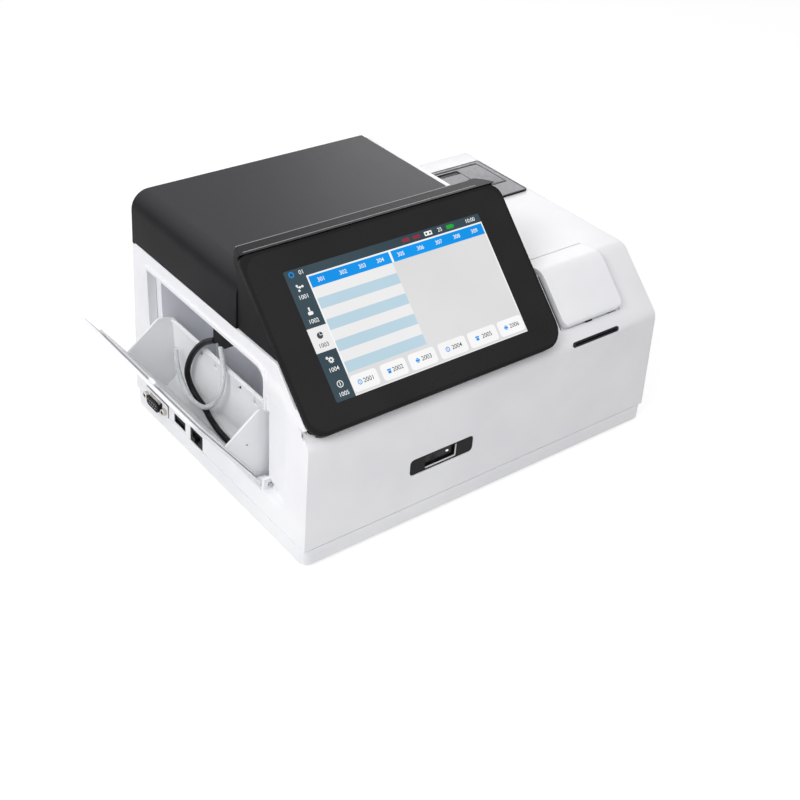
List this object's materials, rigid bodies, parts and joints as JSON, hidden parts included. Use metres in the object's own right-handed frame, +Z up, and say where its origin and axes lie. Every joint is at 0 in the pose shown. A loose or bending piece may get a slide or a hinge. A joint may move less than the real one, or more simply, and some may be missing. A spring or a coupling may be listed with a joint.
{
  "type": "bench-top immunoassay analyser",
  "caption": "Bench-top immunoassay analyser with a slanted touch screen, a tilt-out drawer with a curved bin in its side, a cartridge lid, a scanner window and a built-in label printer.",
  "frame": {"origin": "centre of the bounding box of the rest pose, drawer open, at the underside of the feet", "axes": "+Z up; the wall with the scanner window faces -Y; the drawer is in the wall that faces -X"},
  "size_m": [0.3482, 0.2186, 0.1825],
  "materials": {
    "white_housing_plastic": "fine satin texture",
    "pale_bin_plastic": "plain satin",
    "black_housing_plastic": "fine satin texture",
    "dark_grey_plastic": "satin",
    "cover_glass": "polished, black behind",
    "brushed_steel": "brushed",
    "rubber": "matt",
    "thermal_paper": "smooth thermal paper",
    "circuit_board": "solder mask",
    "aluminium": "machined",
    "clear_tubing": "clear flexible tube"
  },
  "bodies": {
    "case": {"base_pan": "white_housing_plastic", "foot_1": "rubber", "foot_2": "rubber", "foot_3": "rubber", "foot_4": "rubber", "main_housing": "white_housing_plastic", "top_hood": "black_housing_plastic", "screen_housing": "black_housing_plastic", "screen_bezel": "black_housing_plastic", "display_glass": "cover_glass", "display_module": "brushed_steel", "lid_hinge_pin": "brushed_steel", "cartridge_bay": "dark_grey_plastic", "carrier_motor": "brushed_steel", "incubator_block": "aluminium", "optical_module": "black_housing_plastic", "slot_trim": "dark_grey_plastic", "card_reader": "circuit_board", "scanner_bezel": "black_housing_plastic", "scanner_window": "cover_glass", "scanner_module": "dark_grey_plastic", "printer_body": "dark_grey_plastic", "printer_cover_pin": "brushed_steel", "print_head": "aluminium", "drawer_pin_front": "brushed_steel", "drawer_pin_rear": "brushed_steel", "compartment_liner": "white_housing_plastic", "tube_fitting": "black_housing_plastic", "black_tube": "rubber", "clear_tube": "clear_tubing", "serial_port": "brushed_steel", "usb_port": "brushed_steel", "network_port": "brushed_steel", "power_inlet": "black_housing_plastic", "switch_frame": "black_housing_plastic", "main_board": "circuit_board", "waste_pump": "black_housing_plastic"},
    "drawer": {"drawer_door": "white_housing_plastic", "drawer_bin": "pale_bin_plastic"},
    "lid": {"cartridge_lid": "white_housing_plastic"},
    "carrier": {"cartridge_carrier": "aluminium"},
    "printer_cover": {"printer_cover": "dark_grey_plastic"},
    "printer_lever": {"printer_lever": "dark_grey_plastic"},
    "platen": {"platen_roller": "rubber"},
    "paper": {"paper_roll": "thermal_paper"},
    "rocker": {"power_switch": "black_housing_plastic"}
  },
  "joints": [
    {"name": "drawer_tilt", "type": "hinge", "parent": "case", "child": "drawer", "pos_m": [-0.11991, 0.0132, 0.0345], "axis": [0, 1, 0], "range_deg": [0, 38]},
    {"name": "lid_hinge", "type": "hinge", "parent": "case", "child": "lid", "pos_m": [0.11459, -0.0538, 0.1284], "axis": [-1, 0, 0], "range_deg": [0, 85]},
    {"name": "carrier_slide", "type": "slide", "parent": "case", "child": "carrier", "axis": [0, 1, 0], "range_m": [0, 0.06]},
    {"name": "cover_hinge", "type": "hinge", "parent": "case", "child": "printer_cover", "pos_m": [0.12459, 0.05, 0.1298], "axis": [1, 0, 0], "range_deg": [0, 80]},
    {"name": "lever_hinge", "type": "hinge", "parent": "printer_cover", "child": "printer_lever", "pos_m": [0.12409, 0.0623, 0.1305], "axis": [1, 0, 0], "range_deg": [0, 25]},
    {"name": "platen_spin", "type": "hinge", "parent": "printer_cover", "child": "platen", "pos_m": [0.12459, 0.0746, 0.1225], "axis": [1, 0, 0], "continuous": true},
    {"name": "paper_spin", "type": "hinge", "parent": "case", "child": "paper", "pos_m": [0.12459, 0.0596, 0.1022], "axis": [1, 0, 0], "continuous": true},
    {"name": "rocker_tip", "type": "hinge", "parent": "case", "child": "rocker", "pos_m": [-0.05091, 0.1055, 0.0285], "axis": [-1, 0, 0], "range_deg": [0, 20]}
  ],
  "couplings": [
    {"joint": "platen_spin", "follows": "paper_spin", "ratio": 4.5}
  ]
}
